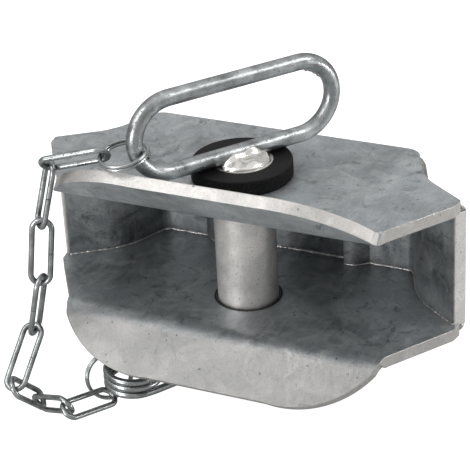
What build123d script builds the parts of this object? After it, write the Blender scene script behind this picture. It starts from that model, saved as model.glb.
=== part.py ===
"""Trailer coupler: a flared jaw with a drawbar pin, its tether chain and its spring cotter.

Lengths are millimetres and angles are degrees. X runs across the jaw, the mouth faces -Y and the
pin stands along Z through the origin, which is the middle of the mouth.
"""

import os
from math import cos, radians, sin, tan

from build123d import *

os.makedirs("parts", exist_ok=True)

# Driving dimensions
MOUTH_HEIGHT = 60
PLATE = 6
PIN_DIAMETER = 30
PIN_HOLE = 31.5
ROD = 8
CHAIN_WIRE = 2.8
RING_WIRE = 1.7
COTTER_WIRE = 3.6

HALF_MOUTH = MOUTH_HEIGHT / 2
PLATE_FACE = HALF_MOUTH + PLATE
PIN_RADIUS = PIN_DIAMETER / 2

# Right half of the plate's outline, which is also the middle of the bent side strip
REAR_EDGE = 52
WING_TIP = (106.5, 8)
WING_FRONT = (105.5, 1.5)
WAIST = (82, 25.6)
WAIST_RADIUS = 35
REAR_CORNER = (70.5, REAR_EDGE)
REAR_RADIUS = 8.5
NECK = (84, -31)
NECK_EDGE = 82
LIP_BEND = -37
LIP_ANGLE = 47.5
LIP_LENGTH = 29
BEND_RADIUS = 9

# Inner ends of the strips, and the plate between them
JOGGLE_OUTER = (44, REAR_EDGE)
JOGGLE_INNER = (38, REAR_EDGE - PLATE + 1)
STRIP_END = (33, REAR_EDGE - PLATE + 1)
BACK_HALF_WIDTH = 36
BACK_THICKNESS = 5
REAR_FACE = REAR_EDGE + PLATE / 2
BEAD_OUT = PLATE / 2
BEAD_UP = 3.5

# Pin, ring and handle
PIN_BOTTOM = -78
PIN_TOP = 44
COTTER_LEVEL = -61.6
RING_DIAMETER = 49
HANDLE_TURN = 53.8
HANDLE_LOW = 48.3
HANDLE_HIGH = 85.7
HANDLE_NEAR = -36.5
HANDLE_FAR = 32.3
PUDDLE_RADIUS = 13.75
PUDDLE_TOP = 48.6

# Chain: each link's middle, then its heading, dip and roll from level
LINK_HALF_STRAIGHT = 12.3
LINK_END_RADIUS = 4.7
LINK_GAP = 0.3
CHAIN_LINKS = [
    ((-62.9, -48.2, 56.6), 188, -15, -38),
    ((-79.7, -49.8, 36.3), 215, -76, 77),
    ((-83.3, -53.3, 6.2), 214, -83, 12),
    ((-88.3, -53.6, -23.9), 173, -76, 80),
    ((-92.2, -65.1, -47.8), 270, -40, 85),
    ((-90.9, -67.5, -67.3), 88, -44, -33),
    ((-80.0, -63.0, -73.9), 332, 24, 23),
    ((-62.9, -57.1, -73.3), 74, -13, -58),
]

# Split rings
RING_COIL_RADIUS = 11.4
RING_COIL_PITCH = 1.75
TOP_RING_CENTRE = (-38.1, -45.3, 61.3)
TOP_RING_AXIS = (-0.07, -0.2, 0.98)
TOP_RING_SEAM = (1, 0.12, 0.1)
BOTTOM_RING_CENTRE = (-61.4, -37.8, -68.5)
BOTTOM_RING_AXIS = (0.72, -0.66, 0.23)
BOTTOM_RING_SEAM = (-0.25, 0.47, 0.82)

# Cotter, pointing outboard from the pin
COTTER_HEADING = 202.4
COTTER_HOLE = 4.2
COIL_REACH = 58.9
COIL_RADIUS = 13
COIL_PITCH = 3.65
COIL_LEAD = 36
COIL_TURNS = 2.5 + COIL_LEAD / 360
COTTER_TIP = 25
COIL_EASE = 0.35
EASE_RUN = 12
GRIP_DIP = (31.4, 9)
GRIP_CREST = (0, 18)
GRIP_TIP = (-28, 19)


def save(piece, node):
    """Label a finished piece and write it."""
    piece.part.label = node
    export_step(piece.part, f"parts/{node}.step")


# Upper and lower plates
with BuildPart() as top_plate:
    bend_y = LIP_BEND + PLATE / 2 * tan(radians(LIP_ANGLE / 2))
    lip_run = LIP_LENGTH + 10
    lip_end = (
        bend_y - lip_run * cos(radians(LIP_ANGLE)),
        HALF_MOUTH + PLATE / 2 + lip_run * sin(radians(LIP_ANGLE)),
    )
    with BuildSketch(Plane.YZ):
        with BuildLine() as plate_course:
            FilletPolyline(
                (REAR_EDGE + 5, HALF_MOUTH + PLATE / 2),
                (bend_y, HALF_MOUTH + PLATE / 2),
                lip_end,
                radius=BEND_RADIUS,
            )
        trace(plate_course.line, PLATE)
    extrude(amount=WING_TIP[0] + 10, both=True)
    with BuildSketch(Plane.XY):
        with BuildLine():
            FilletPolyline(
                (0, REAR_EDGE),
                REAR_CORNER,
                WAIST,
                WING_TIP,
                WING_FRONT,
                NECK,
                (NECK_EDGE, LIP_BEND - 1),
                (NECK_EDGE, -90),
                (0, -90),
                radius=[REAR_RADIUS, WAIST_RADIUS, 1.5, 2, 6, 0, 0],
            )
            mirror(about=Plane.YZ)
        make_face()
    extrude(amount=90, mode=Mode.INTERSECT)
    lip_face = Plane(
        origin=(0, LIP_BEND, HALF_MOUTH),
        x_dir=(1, 0, 0),
        z_dir=(0, sin(radians(LIP_ANGLE)), cos(radians(LIP_ANGLE))),
    )
    with BuildSketch(lip_face):
        with BuildLine():
            Line((0, -LIP_LENGTH), (31, -LIP_LENGTH))
            ThreePointArc((31, -LIP_LENGTH), (57, -25.5), (80.5, -6))
            Polyline((80.5, -6), (NECK_EDGE, -1), (130, -1), (130, 130), (0, 130))
            mirror(about=Plane.YZ)
        make_face()
    extrude(amount=130, both=True, mode=Mode.INTERSECT)
    with Locations((0, 0, HALF_MOUTH)):
        Hole(PIN_HOLE / 2)
save(top_plate, "top_plate")

with BuildPart() as bottom_plate:
    mirror(top_plate.part, about=Plane.XY)
save(bottom_plate, "bottom_plate")

# Side walls, bent from strip
with BuildPart() as right_side_wall:
    with BuildSketch(Plane.XY.offset(-HALF_MOUTH)):
        with BuildLine() as wall_course:
            FilletPolyline(
                WING_TIP,
                WAIST,
                REAR_CORNER,
                JOGGLE_OUTER,
                JOGGLE_INNER,
                STRIP_END,
                radius=[WAIST_RADIUS, REAR_RADIUS, 4, 4],
            )
        trace(wall_course.line, PLATE)
    extrude(amount=MOUTH_HEIGHT)
save(right_side_wall, "right_side_wall")

with BuildPart() as left_side_wall:
    mirror(right_side_wall.part, about=Plane.YZ)
save(left_side_wall, "left_side_wall")

# Back plate between the strips
with BuildPart() as back_plate:
    with Locations((0, REAR_FACE - BACK_THICKNESS / 2, 0)):
        Box(2 * BACK_HALF_WIDTH, BACK_THICKNESS, MOUTH_HEIGHT)
save(back_plate, "back_plate")

# Welds in the wedges beside the back plate
with BuildPart() as back_weld_right:
    with BuildSketch(Plane.XY.offset(-HALF_MOUTH)):
        with Locations((BACK_HALF_WIDTH, REAR_FACE)):
            Rectangle(9.4, BACK_THICKNESS, align=(Align.MIN, Align.MAX))
    extrude(amount=MOUTH_HEIGHT)
    add(right_side_wall.part, mode=Mode.SUBTRACT)
save(back_weld_right, "back_weld_right")

with BuildPart() as back_weld_left:
    mirror(back_weld_right.part, about=Plane.YZ)
save(back_weld_left, "back_weld_left")

# Fillet welds on the ledge of the strip, along the edge of each plate
with BuildPart() as upper_weld_right:
    with BuildLine(Plane.XY.offset(HALF_MOUTH)) as ledge:
        FilletPolyline(
            WING_TIP,
            WAIST,
            REAR_CORNER,
            (0, REAR_EDGE),
            radius=[WAIST_RADIUS, REAR_RADIUS],
        )
    forward = ledge.line % 0
    inward = Vector(-forward.Y, forward.X, 0)
    with BuildSketch(Plane(origin=ledge.line @ 0, x_dir=inward, z_dir=forward)):
        with BuildLine():
            Polyline((-BEAD_OUT, 0), (0, 0), (0, BEAD_UP))
            ThreePointArc((0, BEAD_UP), (-BEAD_OUT * 0.62, BEAD_UP * 0.6), (-BEAD_OUT, 0))
        make_face()
    sweep(path=ledge.line)
save(upper_weld_right, "upper_weld_right")

with BuildPart() as upper_weld_left:
    mirror(upper_weld_right.part, about=Plane.YZ)
save(upper_weld_left, "upper_weld_left")

with BuildPart() as lower_weld_right:
    mirror(upper_weld_right.part, about=Plane.XY)
save(lower_weld_right, "lower_weld_right")

with BuildPart() as lower_weld_left:
    mirror(upper_weld_left.part, about=Plane.XY)
save(lower_weld_left, "lower_weld_left")

# Coupling pin with its cross hole for the cotter
cotter_way = Vector(1, 0, 0).rotate(Axis.Z, COTTER_HEADING)
with BuildPart() as coupling_pin:
    with BuildSketch(Plane.XY.offset(PIN_BOTTOM)):
        Circle(PIN_RADIUS)
    extrude(amount=PIN_TOP - PIN_BOTTOM)
    chamfer(coupling_pin.edges().filter_by(GeomType.CIRCLE).sort_by(Axis.Z)[0], 2)
    with BuildSketch(Plane(origin=(0, 0, COTTER_LEVEL), z_dir=cotter_way)):
        Circle(COTTER_HOLE / 2)
    extrude(amount=PIN_DIAMETER, both=True, mode=Mode.SUBTRACT)
save(coupling_pin, "coupling_pin")

with BuildPart() as rubber_ring:
    with BuildSketch(Plane.XY.offset(PLATE_FACE)):
        Circle(RING_DIAMETER / 2)
        Circle(PIN_RADIUS + 0.1, mode=Mode.SUBTRACT)
    extrude(amount=PIN_TOP - PLATE_FACE)
    outer_edges = rubber_ring.edges().filter_by(GeomType.CIRCLE).sort_by(SortBy.RADIUS)[-2:]
    fillet(outer_edges, 0.8)
save(rubber_ring, "rubber_ring")

# Handle, an upright loop of rod
handle_plane = Plane(
    origin=(0, 0, 0),
    x_dir=(cos(radians(HANDLE_TURN)), sin(radians(HANDLE_TURN)), 0),
    z_dir=(sin(radians(HANDLE_TURN)), -cos(radians(HANDLE_TURN)), 0),
)
with BuildPart() as handle:
    handle_middle = (HANDLE_LOW + HANDLE_HIGH) / 2
    handle_bend = (HANDLE_HIGH - HANDLE_LOW) / 2
    with BuildLine(handle_plane) as loop:
        Line((0, HANDLE_LOW), (HANDLE_FAR, HANDLE_LOW))
        ThreePointArc(
            (HANDLE_FAR, HANDLE_LOW),
            (HANDLE_FAR + handle_bend, handle_middle),
            (HANDLE_FAR, HANDLE_HIGH),
        )
        Line((HANDLE_FAR, HANDLE_HIGH), (HANDLE_NEAR, HANDLE_HIGH))
        ThreePointArc(
            (HANDLE_NEAR, HANDLE_HIGH),
            (HANDLE_NEAR - handle_bend, handle_middle),
            (HANDLE_NEAR, HANDLE_LOW),
        )
        Line((HANDLE_NEAR, HANDLE_LOW), (0, HANDLE_LOW))
    with BuildSketch(Plane(origin=loop.line @ 0, z_dir=loop.line % 0)):
        Circle(ROD / 2)
    sweep(path=loop.line)
save(handle, "handle")

# Weld puddle that holds the loop on the pin
with BuildPart() as handle_weld:
    with BuildSketch(Plane.XZ):
        with BuildLine():
            Polyline((0, PUDDLE_TOP), (0, PIN_TOP), (PUDDLE_RADIUS, PIN_TOP))
            ThreePointArc((PUDDLE_RADIUS, PIN_TOP), (8.5, 47.4), (0, PUDDLE_TOP))
        make_face()
    revolve(axis=Axis.Z)
    add(handle.part, mode=Mode.SUBTRACT)
save(handle_weld, "handle_weld")

# Split rings, two turns of wire each, wound once and set in two places
with BuildPart() as wound_ring:
    with BuildLine() as coil:
        Helix(RING_COIL_PITCH, 2 * RING_COIL_PITCH, RING_COIL_RADIUS, (0, 0, -RING_COIL_PITCH))
    with BuildSketch(Plane(origin=coil.line @ 0, z_dir=coil.line % 0)):
        Circle(RING_WIRE / 2)
    sweep(path=coil.line, is_frenet=True)

for node, centre, axis, seam in (
    ("split_ring_top", TOP_RING_CENTRE, TOP_RING_AXIS, TOP_RING_SEAM),
    ("split_ring_bottom", BOTTOM_RING_CENTRE, BOTTOM_RING_AXIS, BOTTOM_RING_SEAM),
):
    with BuildPart() as split_ring:
        with Locations(Plane(origin=centre, x_dir=seam, z_dir=axis)):
            add(wound_ring.part)
    save(split_ring, node)

# Chain of long links, each bent from wire with its ends butted half way along one side
for number, (middle, heading, dip, roll) in enumerate(CHAIN_LINKS, start=1):
    along = Vector(1, 0, 0).rotate(Axis.Y, -dip).rotate(Axis.Z, heading)
    level = Vector(0, 1, 0).rotate(Axis.Z, heading)
    face_on = level.rotate(Axis((0, 0, 0), along), roll)
    link_plane = Plane(origin=middle, x_dir=along, z_dir=face_on)
    with BuildPart() as chain_link:
        with BuildLine(link_plane) as link_course:
            side = LINK_END_RADIUS
            reach = LINK_HALF_STRAIGHT
            Line((LINK_GAP / 2, side), (reach, side))
            ThreePointArc((reach, side), (reach + side, 0), (reach, -side))
            Line((reach, -side), (-reach, -side))
            ThreePointArc((-reach, -side), (-reach - side, 0), (-reach, side))
            Line((-reach, side), (-LINK_GAP / 2, side))
        with BuildSketch(Plane(origin=link_course.line @ 0, z_dir=link_course.line % 0)):
            Circle(CHAIN_WIRE / 2)
        sweep(path=link_course.line)
    save(chain_link, f"chain_link_{number}")

# Spring cotter, bent in the coil's frame and then set in the pin's cross hole
coil_height = COIL_TURNS * COIL_PITCH
leg_level = coil_height + COIL_EASE


def beside_pin(reach, side, level):
    """A point given from the pin's axis, outboard and sideways, in the coil's frame."""
    return Vector(side - COIL_RADIUS, COIL_REACH - reach, level).rotate(Axis.Z, -COIL_LEAD)


with BuildPart() as bent_cotter:
    tip = beside_pin(-COTTER_TIP, 0, leg_level)
    inward = (beside_pin(0, 0, leg_level) - beside_pin(COTTER_TIP, 0, leg_level)).normalized()
    with BuildLine() as cotter_course:
        turns = Helix(COIL_PITCH, coil_height, COIL_RADIUS, lefthand=True)
        Line(tip, beside_pin(COIL_REACH - EASE_RUN, 0, leg_level))
        Spline(
            beside_pin(COIL_REACH - EASE_RUN, 0, leg_level),
            turns @ 1,
            tangents=[inward * -1, (turns % 1) * -1],
        )
        Spline(
            turns @ 0,
            (COIL_RADIUS, EASE_RUN / 2, -COIL_EASE),
            tangents=[(turns % 0) * -1, (0, 1, 0)],
        )
        FilletPolyline(
            (COIL_RADIUS, EASE_RUN / 2, -COIL_EASE),
            beside_pin(*GRIP_DIP, -COIL_EASE),
            beside_pin(*GRIP_CREST, -COIL_EASE),
            beside_pin(*GRIP_TIP, -COIL_EASE),
            radius=[10, 14],
        )
    with BuildSketch(Plane(origin=tip, z_dir=inward * -1)):
        Circle(COTTER_WIRE / 2)
    sweep(path=cotter_course.line)

coil_side = cotter_way.rotate(Axis.Z, 90)
coil_centre = cotter_way * COIL_REACH + coil_side * COIL_RADIUS
coil_base = coil_centre + Vector(0, 0, COTTER_LEVEL - leg_level)
with BuildPart() as spring_cotter:
    with Locations(Plane(origin=coil_base, x_dir=coil_side.rotate(Axis.Z, COIL_LEAD), z_dir=(0, 0, 1))):
        add(bent_cotter.part)
save(spring_cotter, "spring_cotter")
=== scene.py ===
# %% [markdown]
# # Trailer coupler, dressed
# The real coupler is a welded jaw of zinc-plated steel with a drawbar pin, an oval handle and a
# chain to the cotter that locks the pin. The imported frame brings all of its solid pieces. This
# script adds what solids leave out: the ripples of the weld beads, the lumpy puddle under the
# handle, and finishes that are worked out from noise and surface normals.
#
# Lengths in the scene are metres. X runs across the jaw, the mouth faces -Y, and Z is up along
# the pin.

# %% Load the frame
import math

import bpy
import numpy as np
from mathutils import Matrix, Vector


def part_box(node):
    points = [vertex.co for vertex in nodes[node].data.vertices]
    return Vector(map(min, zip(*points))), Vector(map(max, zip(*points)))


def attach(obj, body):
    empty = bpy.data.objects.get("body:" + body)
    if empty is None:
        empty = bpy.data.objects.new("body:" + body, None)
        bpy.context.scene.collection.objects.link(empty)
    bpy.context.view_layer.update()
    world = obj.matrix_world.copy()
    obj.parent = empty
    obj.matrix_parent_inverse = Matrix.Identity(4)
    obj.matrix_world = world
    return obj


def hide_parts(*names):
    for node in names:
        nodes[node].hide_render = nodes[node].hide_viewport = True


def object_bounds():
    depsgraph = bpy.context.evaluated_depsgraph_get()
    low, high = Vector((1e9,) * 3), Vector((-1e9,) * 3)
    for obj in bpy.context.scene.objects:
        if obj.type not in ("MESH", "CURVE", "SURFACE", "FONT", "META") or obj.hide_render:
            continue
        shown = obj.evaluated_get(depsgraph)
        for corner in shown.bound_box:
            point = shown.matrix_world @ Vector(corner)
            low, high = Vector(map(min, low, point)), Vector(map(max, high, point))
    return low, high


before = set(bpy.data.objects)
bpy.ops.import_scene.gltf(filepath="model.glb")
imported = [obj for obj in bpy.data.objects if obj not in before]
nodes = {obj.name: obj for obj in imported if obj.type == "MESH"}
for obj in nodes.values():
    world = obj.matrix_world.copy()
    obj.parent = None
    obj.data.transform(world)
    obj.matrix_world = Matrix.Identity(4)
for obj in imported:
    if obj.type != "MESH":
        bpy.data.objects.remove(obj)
cad_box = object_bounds()
MM = 0.001
print("nodes in the frame:", len(nodes))

# %% [markdown]
# ## Sizes read from the frame
# The beads lie on a ledge between plate and strip, and the puddle lies on the pin's head. Their
# levels could be typed in, but reading them from the boxes of the nodes keeps the two models in
# step. Only the plan of the bent strip is written out again, because a box can't tell it.

# %% Levels and the strip's plan, in millimetres
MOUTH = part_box("right_side_wall")[1][2] / MM
PIN_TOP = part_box("coupling_pin")[1][2] / MM
STRIP = 6.0

# One half of the strip's middle line, from the wing's tip to the middle of the back
STRIP_PLAN = [(106.5, 8), (82, 25.6), (70.5, 52), (0, 52)]
STRIP_ROUNDS = [35, 8.5]
print("half the mouth", round(MOUTH, 1), "mm, pin's top at", round(PIN_TOP, 1), "mm")

# %% [markdown]
# ## Node helpers
# A material is a small tree of nodes. It could be clicked together by hand, but a tree built in
# code can be read from top to bottom. Each helper adds one node and hands back the socket that
# the next helper needs, so a finish reads like a sum.

# %% Start a tree, and feed its sockets
def start_material(name):
    """Make a material and hand back its tree, its shader and the object coordinates."""
    mat = bpy.data.materials.new(name)
    mat.use_nodes = True
    tree = mat.node_tree
    shader = tree.nodes["Principled BSDF"]
    place = tree.nodes.new("ShaderNodeTexCoord").outputs["Object"]
    return mat, tree, shader, place


def feed(tree, item, socket):
    """Give a socket what it needs: another node's output, a colour triple or a number."""
    if hasattr(item, "is_linked"):
        tree.links.new(item, socket)
    elif isinstance(item, tuple):
        socket.default_value = (*item, 1.0)
    else:
        socket.default_value = item


def grey(level, tint=(1.0, 1.0, 1.0)):
    """A grey triple, times a slight tint."""
    return tuple(level * share for share in tint)


print("a grey with a tint:", grey(0.5, (0.9, 1.0, 1.0)))


# %% Patterns
def noise(tree, place, scale, detail=4.0, rough=0.55, warp=0.0):
    """Noise at a scale in cycles per metre."""
    node = tree.nodes.new("ShaderNodeTexNoise")
    node.inputs["Scale"].default_value = scale
    node.inputs["Detail"].default_value = detail
    node.inputs["Roughness"].default_value = rough
    node.inputs["Distortion"].default_value = warp
    tree.links.new(place, node.inputs["Vector"])
    return node.outputs["Fac"]


def stretch(tree, place, factors, turn=(0, 0, 0)):
    """Scale and turn the coordinates, which draws noise out into strokes."""
    node = tree.nodes.new("ShaderNodeMapping")
    node.inputs["Scale"].default_value = factors
    node.inputs["Rotation"].default_value = turn
    tree.links.new(place, node.inputs["Vector"])
    return node.outputs["Vector"]


def coordinates(tree, place):
    """The three coordinates of a place, one socket each."""
    node = tree.nodes.new("ShaderNodeSeparateXYZ")
    tree.links.new(place, node.inputs[0])
    return node.outputs


print("patterns: noise, stretched noise, single coordinates")


# %% Sums and blends
def ramp(tree, value, low, high):
    """Map a value from low..high to 0..1, clamped."""
    node = tree.nodes.new("ShaderNodeMapRange")
    node.inputs["From Min"].default_value = low
    node.inputs["From Max"].default_value = high
    tree.links.new(value, node.inputs["Value"])
    return node.outputs["Result"]


def maths(tree, kind, a, b):
    """One arithmetic step, where either side may be a number or a socket."""
    node = tree.nodes.new("ShaderNodeMath")
    node.operation = kind
    feed(tree, a, node.inputs[0])
    feed(tree, b, node.inputs[1])
    return node.outputs[0]


def mix(tree, share, first, second):
    """Blend two colours, each a socket or a triple."""
    node = tree.nodes.new("ShaderNodeMix")
    node.data_type = "RGBA"
    feed(tree, share, node.inputs["Factor"])
    feed(tree, first, node.inputs[6])
    feed(tree, second, node.inputs[7])
    return node.outputs[2]


def glaze(tree, tone, mask, amount, colour):
    """Lay a colour over the tone where the mask is 1, by the amount."""
    return mix(tree, maths(tree, "MULTIPLY", mask, amount), tone, colour)


def bump(tree, shader, height, strength, depth, under=None):
    """Raise the surface by a height signal, depth in metres, over an optional smoother normal."""
    node = tree.nodes.new("ShaderNodeBump")
    node.inputs["Strength"].default_value = strength
    node.inputs["Distance"].default_value = depth
    tree.links.new(height, node.inputs["Height"])
    if under is not None:
        tree.links.new(under, node.inputs["Normal"])
    tree.links.new(node.outputs["Normal"], shader.inputs["Normal"])


print("blends: ramp, arithmetic, mix, glaze, bump")

# %% [markdown]
# ## Where a sheet is cut
# The real plates were sawn before they were plated, so their edges are paler and rougher than
# their faces. The edges could be given a material of their own face by face. Here they are found
# from the surface's own normal instead, since a node's mesh must stay as it is: an edge stands
# across the sheet, which lies level in the body of a plate and slopes in its lip.

# %% Masks for cut edges
LIP_SLOPE = math.radians(47.5)
LIP_STARTS = -38 * MM
EDGE_TURNS = 0.45, 0.25
WING_TIP = 103.5 * MM, 104.3 * MM
FACES_FRONT = 0.3, 0.5


def true_normal(tree):
    """The normal of the bare face, before any smoothing."""
    return tree.nodes.new("ShaderNodeNewGeometry").outputs["True Normal"]


def facing(tree, axis):
    """How far the face looks along one axis, 0 to 1, the same on both sides."""
    return maths(tree, "ABSOLUTE", coordinates(tree, true_normal(tree))[axis], 0.0)


def along(tree, way):
    """The size of the dot product of the bare normal and a fixed direction."""
    dot = tree.nodes.new("ShaderNodeVectorMath")
    dot.operation = "DOT_PRODUCT"
    dot.inputs[1].default_value = way
    tree.links.new(true_normal(tree), dot.inputs[0])
    return maths(tree, "ABSOLUTE", dot.outputs["Value"], 0.0)


def in_lip(tree, place, blend):
    """1 in front of the bend of the lip, 0 behind it, over a band of twice the blend."""
    return ramp(tree, coordinates(tree, place)[1], LIP_STARTS + blend, LIP_STARTS - blend)


def across_sheet(tree, place, lift):
    """How squarely the face looks out of the plate: 1 on its faces, 0 on its cut edges."""
    level = along(tree, (0, 0, 1))
    sloped = along(tree, (0, math.sin(LIP_SLOPE), lift * math.cos(LIP_SLOPE)))
    front = in_lip(tree, place, 2 * MM)
    behind = maths(tree, "SUBTRACT", 1.0, front)
    return maths(tree, "ADD", maths(tree, "MULTIPLY", sloped, front),
                 maths(tree, "MULTIPLY", level, behind))


def cut_of_upper(tree, place):
    """Cut edges of the upper plate, whose lip turns up."""
    return ramp(tree, across_sheet(tree, place, 1), *EDGE_TURNS)


def cut_of_lower(tree, place):
    """Cut edges of the lower plate, whose lip turns down."""
    return ramp(tree, across_sheet(tree, place, -1), *EDGE_TURNS)


def end_of_wall(tree, place):
    """1 on the sawn ends of the side walls, which lie outside a plane near the wing's tip."""
    reach = maths(tree, "ABSOLUTE", coordinates(tree, place)[0], 0.0)
    front = ramp(tree, facing(tree, 1), *FACES_FRONT)
    return maths(tree, "MULTIPLY", ramp(tree, reach, *WING_TIP), front)


print("lip slopes", round(math.degrees(LIP_SLOPE), 1), "degrees from", LIP_STARTS / MM, "mm")

# %% [markdown]
# ## Worn corners, painted shade in creases and in the pin's hole
# No real plate has a perfectly sharp corner. A Bevel modifier could round them, but the Bevel
# node does it in the shading alone, and the angle between its normal and the flat one also shows
# where the corners are, so that they can be rubbed pale. Ambient occlusion finds the creases, where
# shade is painted into the colour. The hole's rim, told by its distance from the pin's axis, gets
# painted shade too, for the gap round the pin.

# %% Masks for wear and painted shade
CORNER_TURNS = 0.985, 0.85
CREASE_OPENS = 0.75, 0.15
# Painted shade of the gap round the pin fades out between these distances from its axis.
GAP_SHADE_RIM = 17.3 * MM, 16.5 * MM


def broken_edge(tree, radius):
    """A normal that rounds the corners, and a mask that is 1 along them."""
    soft = tree.nodes.new("ShaderNodeBevel")
    soft.samples = 4
    soft.inputs["Radius"].default_value = radius
    flat = tree.nodes.new("ShaderNodeNewGeometry").outputs["Normal"]
    dot = tree.nodes.new("ShaderNodeVectorMath")
    dot.operation = "DOT_PRODUCT"
    tree.links.new(soft.outputs[0], dot.inputs[0])
    tree.links.new(flat, dot.inputs[1])
    return soft.outputs[0], ramp(tree, dot.outputs["Value"], *CORNER_TURNS)


def crease(tree, reach):
    """1 deep in a corner between two pieces, 0 in the open: the mask for painted shade."""
    dark = tree.nodes.new("ShaderNodeAmbientOcclusion")
    dark.samples = 6
    dark.inputs["Distance"].default_value = reach
    return ramp(tree, dark.outputs["AO"], *CREASE_OPENS)


def pin_gap_shade(tree, place):
    """1 on the rim of the pin's hole, the painted shade of the gap: the distance from the Z axis is
    short there.
    """
    size = tree.nodes.new("ShaderNodeVectorMath")
    size.operation = "LENGTH"
    tree.links.new(stretch(tree, place, (1.0, 1.0, 0.0)), size.inputs[0])
    return ramp(tree, size.outputs["Value"], *GAP_SHADE_RIM)


print("dark rim ends", round(GAP_SHADE_RIM[0] / MM, 1), "mm from the pin's axis")

# %% [markdown]
# ## Plated sheet
# Zinc plating on rolled sheet is bluish, cloudy and faintly brushed, with pale smudges, dark
# stains and pits. A photograph could be laid over it, but it would show its seams and its size.
# Layers of noise have neither. Each layer is one thing that happened to the sheet: the bath, the
# brush, the handling, the dirt. The lower lip has been rubbed warm and even by drawbar eyes.

# %% Layers of the plating
COOL = (0.93, 1.0, 1.035)
WARM = (1.03, 1.0, 0.965)
PALE = (0.96, 1.0, 1.0)

# Each layer: cycles per metre, detail, roughness and warp of its noise, then its two cut levels
LAYERS = {
    "cloud": ((24, 5, 0.62, 0.6), (0.34, 0.66)),
    "smudge": ((70, 5, 0.70, 1.2), (0.46, 0.66)),
    "stain": ((55, 6, 0.70, 2.0), (0.56, 0.70)),
    "strokes": ((420, 3, 0.60, 0.0), (0.35, 0.70)),
    "specks": ((430, 2, 0.50, 0.0), (0.70, 0.75)),
}
STAIN_DRAWN, STAIN_TURNED = (1, 1, 1.4), (0.4, 0.2, 0)
LEVEL_STROKES, UPRIGHT_STROKES = (1.0, 0.12, 1.0), (1.0, 1.0, 0.1)


def layer(tree, place, name):
    """A named pattern: noise cut to 0..1 between two levels."""
    (scale, detail, rough, warp), cut = LAYERS[name]
    return ramp(tree, noise(tree, place, scale, detail, rough, warp), *cut)


def rubbed_lip(tree, place, tone, smudge, stain, level):
    """Blend the tone into a warm even one in front of the lip's bend."""
    bare = mix(tree, smudge, grey(level, WARM), grey(level * 1.12, WARM))
    bare = glaze(tree, bare, stain, 0.3, grey(level * 0.75, WARM))
    return glaze(tree, tone, in_lip(tree, place, 3 * MM), 0.85, bare)


print("plating layers:", ", ".join(LAYERS))


# %% Plated sheet
def plated(name, dark, light, edge, rough, cut_mask, strokes_run=LEVEL_STROKES, crease_shade=0.5, lip=None):
    """Plated sheet: mottled faces, brush strokes, pale cut edges, dark pits and painted shade in
    creases.
    """
    mat, tree, shader, place = start_material(name)
    cloud, smudge = layer(tree, place, "cloud"), layer(tree, place, "smudge")
    stain = layer(tree, stretch(tree, place, STAIN_DRAWN, STAIN_TURNED), "stain")
    strokes = layer(tree, stretch(tree, place, strokes_run), "strokes")
    grain = noise(tree, place, 1300, 2, 0.6)

    tone = mix(tree, cloud, grey(dark, COOL), grey(light, COOL))
    tone = glaze(tree, tone, strokes, 0.25, grey(light * 1.2, COOL))
    tone = glaze(tree, tone, smudge, 0.42, grey(light * 1.5))
    tone = glaze(tree, tone, stain, 0.7, grey(dark * 0.4, COOL))
    if lip is not None:
        tone = rubbed_lip(tree, place, tone, smudge, stain, lip)
    sawn = mix(tree, smudge, grey(edge * 0.84, WARM), grey(edge, WARM))
    tone = mix(tree, cut_mask(tree, place), tone, sawn)

    tone = glaze(tree, tone, ramp(tree, grain, 0.52, 0.72), 0.3, grey(dark * 0.45))
    tone = glaze(tree, tone, layer(tree, place, "specks"), 0.75, grey(0.015))
    # Painted shade: the colour goes towards near black where ambient occlusion finds a crease.
    tone = glaze(tree, tone, crease(tree, 9 * MM), crease_shade, grey(0.02, COOL))
    # Painted shade: the rim of the pin's hole turns almost black, standing in for the gap's shadow.
    tone = mix(tree, pin_gap_shade(tree, place), tone, grey(0.004))
    soft, rim = broken_edge(tree, 0.7 * MM)
    tone = glaze(tree, tone, rim, 0.55, grey(min(edge * 1.15, 0.9), WARM))
    tree.links.new(tone, shader.inputs["Base Color"])

    shader.inputs["Metallic"].default_value = 0.75
    gloss = mix(tree, cloud, grey(rough), grey(rough * 1.4))
    tree.links.new(gloss, shader.inputs["Roughness"])
    rise = maths(tree, "ADD", strokes, maths(tree, "MULTIPLY", smudge, 1.2))
    bump(tree, shader, maths(tree, "ADD", rise, grain), 0.22, 0.00022, under=soft)
    return mat


sheets = {
    "upper": plated("plate_zinc", dark=0.32, light=0.50, edge=0.66, rough=0.38,
                    cut_mask=cut_of_upper),
    "lower": plated("lower_zinc", dark=0.20, light=0.48, edge=0.62, rough=0.34,
                    cut_mask=cut_of_lower, crease_shade=0.85, lip=0.19),
    "wall": plated("wall_zinc", dark=0.11, light=0.40, edge=0.95, rough=0.33,
                   cut_mask=end_of_wall, strokes_run=UPRIGHT_STROKES, crease_shade=0.95),
}
print("sheet finishes:", ", ".join(sheets))

# %% [markdown]
# ## Bar, wire, weld and rubber
# Pin, handle, chain and springs are drawn bar and wire: brighter than the sheet, with fine specks
# and small dents, and painted shade where two pieces touch. One recipe with different numbers
# serves them all, which also keeps them in one family. The rubber ring has been cut from a sheet,
# so its top is smooth, and its side is torn and dusty. One mask from the normal tells the two
# apart.

# %% Bright metal and rubber
# Reach of the painted shade where two pieces touch.
CONTACT_SHADE_REACH = 3 * MM


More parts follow.
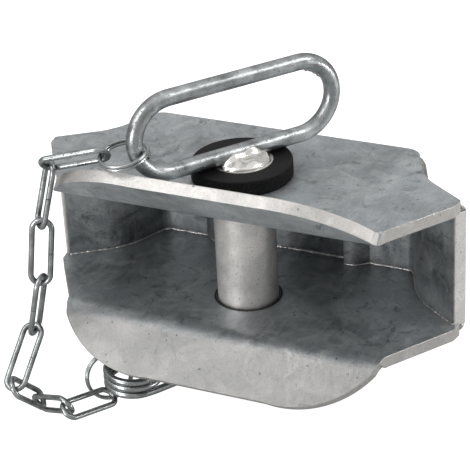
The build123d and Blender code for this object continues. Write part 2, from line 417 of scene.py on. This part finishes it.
def bright_metal(name, dark, light, rough, scale=60, dents=0.3, metallic=1.0, crease_shade=0.35,
                 specks=0.35, tint=WARM):
    """Round bar or wire: a slow change of tone, fine specks, small dents and painted contact shade.
    """
    mat, tree, shader, place = start_material(name)
    cloud = ramp(tree, noise(tree, place, scale, 4, 0.6, 0.2), 0.3, 0.7)
    fine = ramp(tree, noise(tree, place, 1100, 2, 0.5), 0.60, 0.74)
    tone = mix(tree, cloud, grey(dark, tint), grey(light, tint))
    tone = glaze(tree, tone, fine, specks, grey(dark * 0.45))
    # Painted shade: darker where ambient occlusion finds pieces touching.
    tone = glaze(tree, tone, crease(tree, CONTACT_SHADE_REACH), crease_shade, grey(0.03))
    tree.links.new(tone, shader.inputs["Base Color"])
    shader.inputs["Metallic"].default_value = metallic
    gloss = mix(tree, cloud, grey(rough), grey(rough * 1.4))
    tree.links.new(gloss, shader.inputs["Roughness"])
    bump(tree, shader, maths(tree, "ADD", cloud, fine), dents, 0.00018)
    return mat


def rubber(name):
    """Black rubber: smooth on top, rough and crumbly on the side."""
    mat, tree, shader, place = start_material(name)
    grain = noise(tree, place, 900, 5, 0.7)
    side = ramp(tree, facing(tree, 2), 0.6, 0.3)
    dust = maths(tree, "MULTIPLY", ramp(tree, grain, 0.55, 0.68), side)
    tone = mix(tree, dust, grey(0.003), grey(0.035))
    tree.links.new(tone, shader.inputs["Base Color"])
    gloss = mix(tree, side, grey(0.55), grey(0.9))
    tree.links.new(gloss, shader.inputs["Roughness"])
    shader.inputs["Specular IOR Level"].default_value = 0.25
    bump(tree, shader, maths(tree, "MULTIPLY", grain, side), 0.9, 0.0007)
    return mat


print("contact lines reach", round(CONTACT_SHADE_REACH / MM, 1), "mm")

# %% The finishes by name
finish = sheets | {
    "bead": bright_metal("weld_bead", 0.36, 0.55, 0.34, scale=220),
    "pin": bright_metal("pin_steel", 0.50, 0.80, 0.34, dents=0.35, metallic=0.7, crease_shade=0.9,
                        specks=0.7),
    "handle": bright_metal("handle_zinc", 0.22, 0.66, 0.29, scale=95, dents=0.6, crease_shade=0.8,
                           specks=0.8, tint=PALE),
    "puddle": bright_metal("weld_bright", 0.75, 0.95, 0.20, scale=150, specks=0.05),
    "seam": bright_metal("weld_line", 0.60, 0.80, 0.30, scale=300, dents=0.5, crease_shade=0.0,
                         specks=0.1),
    "chain": bright_metal("chain_zinc", 0.22, 0.56, 0.27, scale=130, dents=0.5, specks=0.6,
                          tint=PALE),
    "wire": bright_metal("ring_wire", 0.32, 0.56, 0.24, scale=150, tint=PALE),
    "rubber": rubber("black_rubber"),
}
print("finishes:", len(finish))

# %% [markdown]
# ## Dressing the carried-over nodes
# The solids from the frame already have the right shape, so they only change their material. One
# table says which finish each node wears. Welds that get a rippled piece below are left out.

# %% Which node wears what
WORN = {
    "upper": ["top_plate"],
    "lower": ["bottom_plate"],
    "wall": ["left_side_wall", "right_side_wall", "back_plate"],
    "pin": ["coupling_pin"],
    "handle": ["handle"],
    "rubber": ["rubber_ring"],
    "wire": ["split_ring_top", "split_ring_bottom", "spring_cotter"],
    "chain": [f"chain_link_{k}" for k in range(1, 9)],
}


def dress(obj, mat):
    """Give an object one material."""
    obj.data.materials.clear()
    obj.data.materials.append(mat)


for kind, names in WORN.items():
    for node in names:
        dress(nodes[node], finish[kind])
print("dressed", sum(len(names) for names in WORN.values()), "nodes of", len(nodes))

# %% [markdown]
# ## Paths in plan
# Every bead on the jaw follows the bent strip. A curve object could carry it, but then its
# ripples would have to be a second step. Here the strip's middle line becomes a dense row of
# points in millimetres, and each bead is worked out on those points.

# %% Rounded path and its normals
PATH_STEP = 0.4


def rounded(corners, radii, step=PATH_STEP):
    """A polyline with rounded corners as evenly spaced points, and the length run at each.

    At a corner the two sides leave at an angle of twice h. The arc's centre lies on their
    bisector, the radius over the sine of h away, and the arc starts the radius over the tangent
    of h from the corner. A point of the arc is the centre, plus the cosine of the angle times the
    start arm, plus the sine times that arm turned by a right angle.
    """
    runs = [np.array([corners[0]], float)]
    for before, corner, after, radius in zip(corners, corners[1:], corners[2:], radii):
        corner = np.array(corner, float)
        a = np.array(before, float) - corner
        b = np.array(after, float) - corner
        a, b = a / np.linalg.norm(a), b / np.linalg.norm(b)
        half = math.acos(np.clip(a @ b, -1, 1)) / 2
        cut = radius / math.tan(half)
        centre = corner + (a + b) / np.linalg.norm(a + b) * radius / math.sin(half)
        start, stop = corner + a * cut - centre, corner + b * cut - centre
        sweep = math.atan2(start[0] * stop[1] - start[1] * stop[0], start @ stop)
        t = np.linspace(0, sweep, max(3, int(abs(sweep) * radius / step)))[:, None]
        runs.append(centre + np.cos(t) * start + np.sin(t) * np.array([-start[1], start[0]]))
    runs.append(np.array([corners[-1]], float))
    pts = np.vstack(runs)
    run = np.r_[0, np.cumsum(np.linalg.norm(np.diff(pts, axis=0), axis=1))]
    even = np.linspace(0, run[-1], int(run[-1] / step))
    return np.column_stack([np.interp(even, run, pts[:, k]) for k in (0, 1)]), even


def sideways(path):
    """Unit normals to the left of a plan path: its direction turned by a right angle."""
    way = np.gradient(path, axis=0)
    way /= np.linalg.norm(way, axis=1)[:, None]
    return np.column_stack([-way[:, 1], way[:, 0]])


def wobble(t, seed, waves=((0.9, 0.5), (2.3, 0.3), (5.1, 0.2))):
    """A smooth random-looking signal from -1 to 1: three sines of t, each with its own start."""
    rng = np.random.default_rng(seed)
    return sum(size * np.sin(t * pace + rng.uniform(0, 6.28)) for pace, size in waves)


ledge_path, ledge_run = rounded(STRIP_PLAN, STRIP_ROUNDS)
print("one half of the strip runs", round(ledge_run[-1], 1), "mm")

# %% [markdown]
# ## From rings to a closed piece
# A bead, a drop and a puddle are all a row of rings. One function joins neighbouring rings with
# quads and closes both ends with a fan, so that every piece is a sealed solid. A mirrored row
# runs the other way round and would come out inside out, which the sign of its volume tells.


def ring_faces(rows, around):
    """Quads between neighbouring rings, and fans from the two end points that follow them."""
    i, j = np.meshgrid(np.arange(rows - 1), np.arange(around), indexing="ij")
    k = (j + 1) % around
    here, above = i * around, (i + 1) * around
    quads = np.stack([here + j, here + k, above + k, above + j], -1).reshape(-1, 4)
    n = np.arange(around)
    ahead = (n + 1) % around
    first, last, top = rows * around, rows * around + 1, (rows - 1) * around
    low_fan = np.column_stack([np.full(around, first), ahead, n])
    high_fan = np.column_stack([np.full(around, last), top + n, top + ahead])
    return quads, np.vstack([low_fan, high_fan])


def outwards(verts, quads, fans):
    """The same faces, turned round where they look inwards.

    The volume is a sixth of the sum over all triangles of the first corner dotted with the cross
    product of the other two. It is negative where the faces look inwards.
    """
    tris = np.vstack([quads[:, [0, 1, 2]], quads[:, [0, 2, 3]], fans])
    a, b, c = (verts[tris[:, corner]] for corner in range(3))
    volume = np.einsum("ij,ij->", a, np.cross(b, c)) / 6
    if volume < 0:
        quads, fans = quads[:, [0, 3, 2, 1]], fans[:, [0, 2, 1]]
    return quads, fans


def skin(name, rings, kind, body, stands_for=()):
    """Close a row of point rings, in millimetres, into one smooth solid piece on a body.

    The two end points are the means of the first and of the last ring.
    """
    ends = [rings[0].mean(0), rings[-1].mean(0)]
    verts = np.vstack([rings.reshape(-1, 3), ends]) * MM
    quads, fans = outwards(verts, *ring_faces(*rings.shape[:2]))
    mesh = bpy.data.meshes.new(name)
    mesh.from_pydata(verts.tolist(), [], quads.tolist() + fans.tolist())
    mesh.polygons.foreach_set("use_smooth", [True] * len(mesh.polygons))
    mesh.update()
    piece = bpy.data.objects.new(name, mesh)
    bpy.context.scene.collection.objects.link(piece)
    dress(piece, finish[kind])
    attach(piece, body)
    if stands_for:
        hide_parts(*stands_for)
    return piece


# %% [markdown]
# ## Fillet welds on the ledge
# Each plate sits on half the strip's thickness, and the bead fills the other half. A welder lays
# a bead drop by drop, so its skin is a row of overlapping crescents. A texture could fake them,
# but the ripples show on the outline too, so they are in the mesh.

# %% Rippled ledge beads
BEAD_OUT, BEAD_UP, DROP = 3.0, 3.5, 2.3
BEAD_ROOT, BEAD_FOOT = -0.6, 0.02
ROUNDNESS = 1.25


def ledge_bead(name, mirror, lift, seed):
    """A rippled fillet weld along one half of a plate's edge.

    The section is a quarter of a rounded square: out is the cosine and up the sine of the angle,
    both to the power of the roundness. Both shrink by a swell that dips between two drops, where
    the sine of the run over the drop's length is zero. The dips bend forward at the middle of
    the section, which makes crescents of them.
    """
    phi = np.linspace(0, math.pi / 2, 9)
    lean = wobble(ledge_run * 0.35, seed)[:, None]
    phase = ledge_run[:, None] / DROP + 0.45 * np.sin(phi)[None, :] + 0.12 * lean
    crest = np.abs(np.sin(math.pi * phase)) ** 0.5
    swell = np.minimum(0.86 + 0.14 * crest + 0.05 * lean, 1.0)
    out = BEAD_OUT * np.cos(phi) ** ROUNDNESS * swell
    up = BEAD_UP * np.sin(phi) ** ROUNDNESS * swell
    root = np.full(len(out), BEAD_ROOT)
    out = np.column_stack([root, out, root])
    up = np.column_stack([np.full(len(up), BEAD_FOOT), up, up[:, -1]])
    side = -sideways(ledge_path)
    side *= np.sign((side * ledge_path).sum(1).mean())
    rings = np.empty((*out.shape, 3))
    rings[..., 0] = mirror * (ledge_path[:, None, 0] + out * side[:, None, 0])
    rings[..., 1] = ledge_path[:, None, 1] + out * side[:, None, 1]
    rings[..., 2] = lift * (MOUTH + up)
    skin(f"{name}_ripples", rings, "bead", "jaw", [name])


for first_seed, level, lift in ((10, "upper", 1), (12, "lower", -1)):
    for side, mirror in (("left", -1), ("right", 1)):
        ledge_bead(f"{level}_weld_{side}", mirror, lift, first_seed + (mirror > 0))
print("drops in one bead:", int(ledge_run[-1] / DROP))

# %% [markdown]
# ## Thin weld lines in the inner creases
# Inside the mouth the weld has run through, and a thin bright line shows along the foot of the
# walls and of the back plate. It could be painted on, but it catches the light as a raised line
# does, so it is a small bead of its own that swells and fades.

# %% Seam lines
SEAM_LEVEL = 0.15
WALL_SEAM, BACK_SEAM, THINNEST = 0.75, 1.1, 0.12


def seam_line(name, path, run, thick, seed, lift, mirror):
    """A thin uneven bead on a plan path at the foot of a wall.

    Its section is a circle, 0.8 as high as wide. The radius is the thickness times a sum of a
    quick and a slow wobble along the run, kept between the thinnest and 1.3 thicknesses.
    """
    turn = np.linspace(0, 2 * math.pi, 9)[:-1]
    size = thick * (0.75 + 0.35 * wobble(run * 0.9, seed) + 0.2 * wobble(run * 0.13, seed + 1))
    size = np.clip(size, THINNEST, thick * 1.3)[:, None]
    side = sideways(path)
    rings = np.empty((len(path), len(turn), 3))
    rings[..., 0] = mirror * (path[:, None, 0] + size * np.cos(turn) * side[:, None, 0])
    rings[..., 1] = path[:, None, 1] + size * np.cos(turn) * side[:, None, 1]
    rings[..., 2] = lift * (SEAM_LEVEL - MOUTH + size * np.sin(turn) * 0.8)
    skin(name, rings, "seam", "jaw")


# The strip's middle line as far as its joggled inner end, moved in by half the strip
INNER_PLAN = [(105.5, 8.7), (82, 25.6), (70.5, 52), (44, 52), (38, 47), (33, 47)]
middle_path, strip_run = rounded(INNER_PLAN, [35, 8.5, 4, 4])
inward = sideways(middle_path)
inward *= -np.sign((inward * middle_path).sum(1).mean())
inner_path = middle_path + inward * (STRIP / 2 + 0.1)

# A straight line along the foot of the back plate
BACK_HALF, BACK_FACE = 33, 49.9
back_run = np.arange(0, BACK_HALF, PATH_STEP)
back_path = np.column_stack([BACK_HALF - back_run, np.full(len(back_run), BACK_FACE)])

for side, mirror in (("left", -1), ("right", 1)):
    for level, lift in (("lower", 1), ("upper", -1)):
        seed = 30 + 4 * (mirror > 0) + (lift > 0)
        seam_line(f"{level}_seam_{side}", inner_path, strip_run, WALL_SEAM, seed, lift, mirror)
        seam_line(f"{level}_back_seam_{side}", back_path, back_run, BACK_SEAM, seed + 2, lift,
                  mirror)
print("seam along one wall:", round(strip_run[-1], 1), "mm")

# %% [markdown]
# ## Upright welds beside the back plate
# These fill the wedge between the back plate and the joggled strip, drop on drop up the height.
# They are laid like the beads on the ledge, but upwards and inside the box of the solid that
# they stand for, so they take their size from that box.

# %% Upright welds
UPRIGHT_DROP, UPRIGHT_STEP, SQUARENESS = 2.6, 0.35, 0.6


def upright_weld(name, seed):
    """A rippled weld that stands from plate to plate.

    The section is a rounded square: the sign times the size of the cosine and of the sine, both
    to the power of the squareness. On the back, the depth dips by 0.22 between two drops.
    """
    low, high = (np.array(corner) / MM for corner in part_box(name))
    rise = np.arange(low[2], high[2] + 0.01, UPRIGHT_STEP)
    turn = np.linspace(0, 2 * math.pi, 17)[:-1]
    middle, half = (low + high) / 2, (high - low) / 2
    across, deep = np.cos(turn), np.sin(turn)
    lean = 0.1 * wobble(rise * 0.4, seed)[:, None]
    phase = rise[:, None] / UPRIGHT_DROP + 0.4 * across ** 2 + lean
    dip = 1 - np.abs(np.sin(math.pi * phase)) ** 0.5
    swell = 1 - 0.22 * np.clip(deep, 0, 1) * dip
    rings = np.empty((len(rise), len(turn), 3))
    rings[..., 0] = middle[0] + half[0] * np.sign(across) * np.abs(across) ** SQUARENESS
    rings[..., 1] = middle[1] + half[1] * np.sign(deep) * np.abs(deep) ** SQUARENESS * swell
    rings[..., 2] = rise[:, None]
    skin(f"{name}_ripples", rings, "bead", "jaw", [name])
    return len(rise)


for name, seed in (("back_weld_left", 51), ("back_weld_right", 52)):
    print(name, "has", upright_weld(name, seed), "rings")

# %% [markdown]
# ## Weld puddle under the handle
# The handle's rod was melted onto the pin's head, and the metal has run out over it and climbed
# the rod on both sides. Sculpting would do, but a height worked out over a round grid is shorter
# and can be changed: a dome, with lumps on it, and a bank on each side of the rod.

# %% The puddle
PUDDLE, ROD_TURN = 13.6, math.radians(53.8)
DOME, BANK, BANK_FROM_ROD, BANK_WIDTH = 4.2, 2.6, 3.4, 1.7
ROD_WAY = np.array([math.cos(ROD_TURN), math.sin(ROD_TURN)])


def puddle_height(x, y):
    """Height of the molten skin above the pin's head.

    The dome is a power of one minus the squared share of the radius. The lumps are sines along
    and across the rod. The bank is a bell curve of the distance from the rod's side.
    """
    edge = np.clip(1 - (np.hypot(x, y) / PUDDLE) ** 2, 0, 1)
    lengthways = x * ROD_WAY[0] + y * ROD_WAY[1]
    across = -x * ROD_WAY[1] + y * ROD_WAY[0]
    lumps = np.sin(lengthways * 0.55 + 1.1 * np.sin(across * 0.4)) * 0.6
    lumps = lumps + np.sin(across * 0.7 + lengthways * 0.4 + 2.0) * 0.35
    bank = BANK * np.exp(-((np.abs(across) - BANK_FROM_ROD) / BANK_WIDTH) ** 2)
    return DOME * edge ** 0.55 + (lumps + bank) * edge ** 0.7


radii = np.linspace(1.0, 0.0, 26) ** 0.8 * PUDDLE
turn = np.linspace(0, 2 * math.pi, 73)[:-1]
ragged = 1 + 0.025 * np.sin(turn * 3 + 1) + 0.02 * np.sin(turn * 7)
x = radii[:, None] * np.cos(turn) * ragged
y = radii[:, None] * np.sin(turn) * ragged
top = np.stack([x, y, PIN_TOP + puddle_height(x, y)], -1)
foot = top[:1].copy()
foot[..., 2] = PIN_TOP - 0.4
skin("weld_puddle", np.concatenate([foot, top[:-1]]), "puddle", "pin", ["handle_weld"])
print("puddle rises", round(top[..., 2].max() - PIN_TOP, 1), "mm above the pin's head")

# %% [markdown]
# ## Weld lumps and spatter
# The handle is one rod bent round, and its two ends meet in a lumpy joint on the inside of the
# far bend. A few drops of spatter have stuck to the plate's right edge. Both are a ball whose
# radius is made uneven, which is cheaper than a sculpted lump and never looks the same twice.

# %% Lumps and drops
DROP_SIZE, LUMP_SIZE = (0.7, 0.6, 0.4), (1.6, 1.4, 1.0)
BEND_CENTRE, BEND_INSIDE, BEND_LEVEL = 32.3, 15.0, 67.0
EDGE_START, EDGE_END, EDGE_LEVEL = np.array([84.6, -30.2]), np.array([105.0, 0.8]), 35.9
JOINT_ANGLES = 40, 50, 62, 72
SPATTER_SHARES = 0.16, 0.33, 0.45, 0.70, 0.93


def drop(name, centre, size, kind, body, seed, way=None):
    """A small uneven lump of weld metal, with its first size along a way if one is given.

    A unit ball by latitude and longitude, times one plus a sine of each coordinate, times the
    three sizes.
    """
    rise = np.linspace(-1.45, 1.45, 13)[:, None]
    turn = np.linspace(0, 2 * math.pi, 17)[:-1]
    flat, high = np.cos(rise), np.sin(rise)
    ball = np.stack([flat * np.cos(turn), flat * np.sin(turn), high + 0 * turn], -1)
    a, b, c = np.random.default_rng(seed).uniform(0, 6, 3)
    bulge = 1 + 0.16 * np.sin(3 * ball[..., 0] + a) + 0.14 * np.sin(4 * ball[..., 1] + b)
    bulge += 0.12 * np.sin(5 * ball[..., 2] + c)
    lump = ball * bulge[..., None] * np.array(size)
    if way is not None:
        lump = lump @ np.array(Vector(way).to_track_quat("X", "Z").to_matrix()).T
    skin(name, lump + np.array(centre), kind, body)


for n, angle in enumerate(JOINT_ANGLES):
    t = math.radians(angle)
    flat = ROD_WAY * (BEND_CENTRE + BEND_INSIDE * math.cos(t))
    spot = (*flat, BEND_LEVEL + BEND_INSIDE * math.sin(t))
    way = (*(-math.sin(t) * ROD_WAY), math.cos(t))
    drop(f"handle_joint_{n + 1}", spot, LUMP_SIZE, "bead", "pin", 70 + n, way)

for n, share in enumerate(SPATTER_SHARES):
    spot = EDGE_START * (1 - share) + EDGE_END * share
    drop(f"spatter_{n + 1}", (*spot, EDGE_LEVEL), DROP_SIZE, "seam", "jaw", 80 + n)
print(len(JOINT_ANGLES), "lumps in the joint and", len(SPATTER_SHARES), "drops of spatter")

# %% [markdown]
# ## Camera
# The camera stands where the photograph was taken. It could be turned by hand until the picture
# fits, but here its turn, height, roll, distance and focal length were solved from measured
# corners of the jaw. The three angles give its right, up and back directions, and those are the
# columns of its matrix.

# %% Place the camera
TURN, RISE, ROLL = (math.radians(angle) for angle in (25.897, 28.344, -3.159))
FOCAL_PIXELS = 1910.12
DISTANCE = 927.62 * MM
SHIFT_RIGHT, SHIFT_UP = -5.29 * MM, 2.69 * MM
FRAME_PIXELS = 470
SENSOR = 36.0


def direction(azimuth, elevation):
    """The way from the object to a viewer or lamp, azimuth 0 in front, angles in radians."""
    level = math.cos(elevation)
    return (math.sin(azimuth) * level, -math.cos(azimuth) * level, math.sin(elevation))


def aim_camera():
    """Build the camera from the fitted angles."""
    back = np.array(direction(TURN, RISE))
    level = np.array([math.cos(TURN), math.sin(TURN), 0.0])
    lift = np.cross(back, level)
    right = math.cos(ROLL) * level + math.sin(ROLL) * lift
    up = math.cos(ROLL) * lift - math.sin(ROLL) * level
    spot = right * SHIFT_RIGHT + up * SHIFT_UP + back * DISTANCE
    lens = bpy.data.cameras.new("camera")
    lens.lens = FOCAL_PIXELS / FRAME_PIXELS * SENSOR
    lens.sensor_width = SENSOR
    lens.clip_start = 0.05
    eye = bpy.data.objects.new("camera", lens)
    turned = np.column_stack([right, up, back])
    eye.matrix_world = Matrix.Translation(Vector(spot)) @ Matrix(turned.tolist()).to_4x4()
    bpy.context.scene.collection.objects.link(eye)
    bpy.context.scene.camera = eye
    return lens.lens


print("lens", round(aim_camera(), 1), "mm")

# %% [markdown]
# ## Room
# Bare metal shows what stands around it, so the room matters as much as the lamps. A picture of
# a studio could be wrapped round the scene. A plain gradient is enough here: white to the camera,
# and to the metal a grey room that is brighter above.

# %% A graded grey room
ROOM_LOW, ROOM_HIGH, ROOM_BELOW = 0.16, 0.80, 0.26
WHITE = (1.0, 1.0, 1.0)


def camera_sees(tree):
    """1 where the camera looks straight at the surface, 0 for light and mirror images."""
    return tree.nodes.new("ShaderNodeLightPath").outputs["Is Camera Ray"]


def build_room():
    """World colour: white to the camera, a graded grey room to everything else."""
    world = bpy.data.worlds.new("room")
    world.use_nodes = True
    tree = world.node_tree
    tree.nodes.clear()
    height = coordinates(tree, tree.nodes.new("ShaderNodeTexCoord").outputs["Generated"])[2]
    tone = mix(tree, ramp(tree, height, -0.1, 0.9), grey(ROOM_LOW), grey(ROOM_HIGH))
    tone = mix(tree, ramp(tree, height, 0.02, -0.25), tone, grey(ROOM_BELOW))
    tone = mix(tree, camera_sees(tree), tone, WHITE)
    back = tree.nodes.new("ShaderNodeBackground")
    tree.links.new(tone, back.inputs["Color"])
    out = tree.nodes.new("ShaderNodeOutputWorld")
    tree.links.new(back.outputs[0], out.inputs["Surface"])
    bpy.context.scene.world = world


build_room()
print("room is", ROOM_LOW, "at the horizon and", ROOM_HIGH, "overhead")

# %% [markdown]
# ## Floor
# The coupler was photographed on white paper. Strong lamps on a white floor would also light the
# steel from below. This floor glows for the camera alone, so that it looks white without
# lighting anything, and its matt share still takes the object's shadow. Its underside is clear,
# so the object can be looked at from below.

# %% A pale floor
FLOOR_GLOW, FLOOR_TONE = 0.90, 0.5
FLOOR_HALF, FLOOR_DROP = 2.0, 12 * MM


def floor_paper():
    """Matt grey plus a glow for the camera on the upper side, nothing on the lower one."""
    mat = bpy.data.materials.new("floor_paper")
    mat.use_nodes = True
    tree = mat.node_tree
    tree.nodes.clear()
    matt = tree.nodes.new("ShaderNodeBsdfDiffuse")
    feed(tree, grey(FLOOR_TONE), matt.inputs["Color"])
    glow = tree.nodes.new("ShaderNodeEmission")
    strength = maths(tree, "MULTIPLY", camera_sees(tree), FLOOR_GLOW)
    tree.links.new(strength, glow.inputs["Strength"])
    both = tree.nodes.new("ShaderNodeAddShader")
    tree.links.new(matt.outputs[0], both.inputs[0])
    tree.links.new(glow.outputs[0], both.inputs[1])
    clear = tree.nodes.new("ShaderNodeBsdfTransparent")
    pick = tree.nodes.new("ShaderNodeMixShader")
    under = tree.nodes.new("ShaderNodeNewGeometry").outputs["Backfacing"]
    tree.links.new(under, pick.inputs[0])
    tree.links.new(both.outputs[0], pick.inputs[1])
    tree.links.new(clear.outputs[0], pick.inputs[2])
    out = tree.nodes.new("ShaderNodeOutputMaterial")
    tree.links.new(pick.outputs[0], out.inputs["Surface"])
    return mat


def lay_floor(level):
    """One wide square at a level, which isn't part of the object."""
    around = ((-1, -1), (1, -1), (1, 1), (-1, 1))
    corners = [(x * FLOOR_HALF, y * FLOOR_HALF, level) for x, y in around]
    mesh = bpy.data.meshes.new("floor")
    mesh.from_pydata(corners, [], [(0, 1, 2, 3)])
    paper = bpy.data.objects.new("floor", mesh)
    bpy.context.scene.collection.objects.link(paper)
    dress(paper, floor_paper())


lay_floor(cad_box[0][2] - FLOOR_DROP)
print("floor lies", round(FLOOR_DROP / MM, 1), "mm below the lowest piece")

# %% [markdown]
# ## Soft boxes
# Four lamps do what the studio's did. The key hangs high on the left, and its mirror image fills
# the lower lip. The front one brightens the pin. The two on the right stand behind the mouth, so
# that they pick out the cut edges and leave the inside dark.

# %% Soft boxes
SOFT_BOXES = {
    "key": (-35, 42, 1.2, (0.6, 0.6), 4.6),
    "front": (-20, 3, 1.3, (0.35, 0.30), 5.5),
    "side": (104, 42, 1.2, (0.4, 0.4), 3.4),
    "bounce": (106, -1, 1.2, (0.3, 0.12), 2.8),
}


def soft_box(name, azimuth, elevation, distance, size, power):
    """An area light that looks at the origin, angles in degrees and power in watts."""
    lamp = bpy.data.lights.new(name, "AREA")
    lamp.shape = "RECTANGLE"
    lamp.size, lamp.size_y = size
    lamp.energy = power
    way = Vector(direction(math.radians(azimuth), math.radians(elevation)))
    obj = bpy.data.objects.new(name, lamp)
    obj.location = way * distance
    obj.rotation_euler = way.to_track_quat("Z", "Y").to_euler()
    bpy.context.scene.collection.objects.link(obj)


for name, setting in SOFT_BOXES.items():
    soft_box(name, *setting)
print("lamps:", ", ".join(SOFT_BOXES))

# %% [markdown]
# ## The view transform
# The view transform is plain, so that a colour renders as it is written.

# %% Finish
bpy.context.scene.view_settings.view_transform = "Standard"
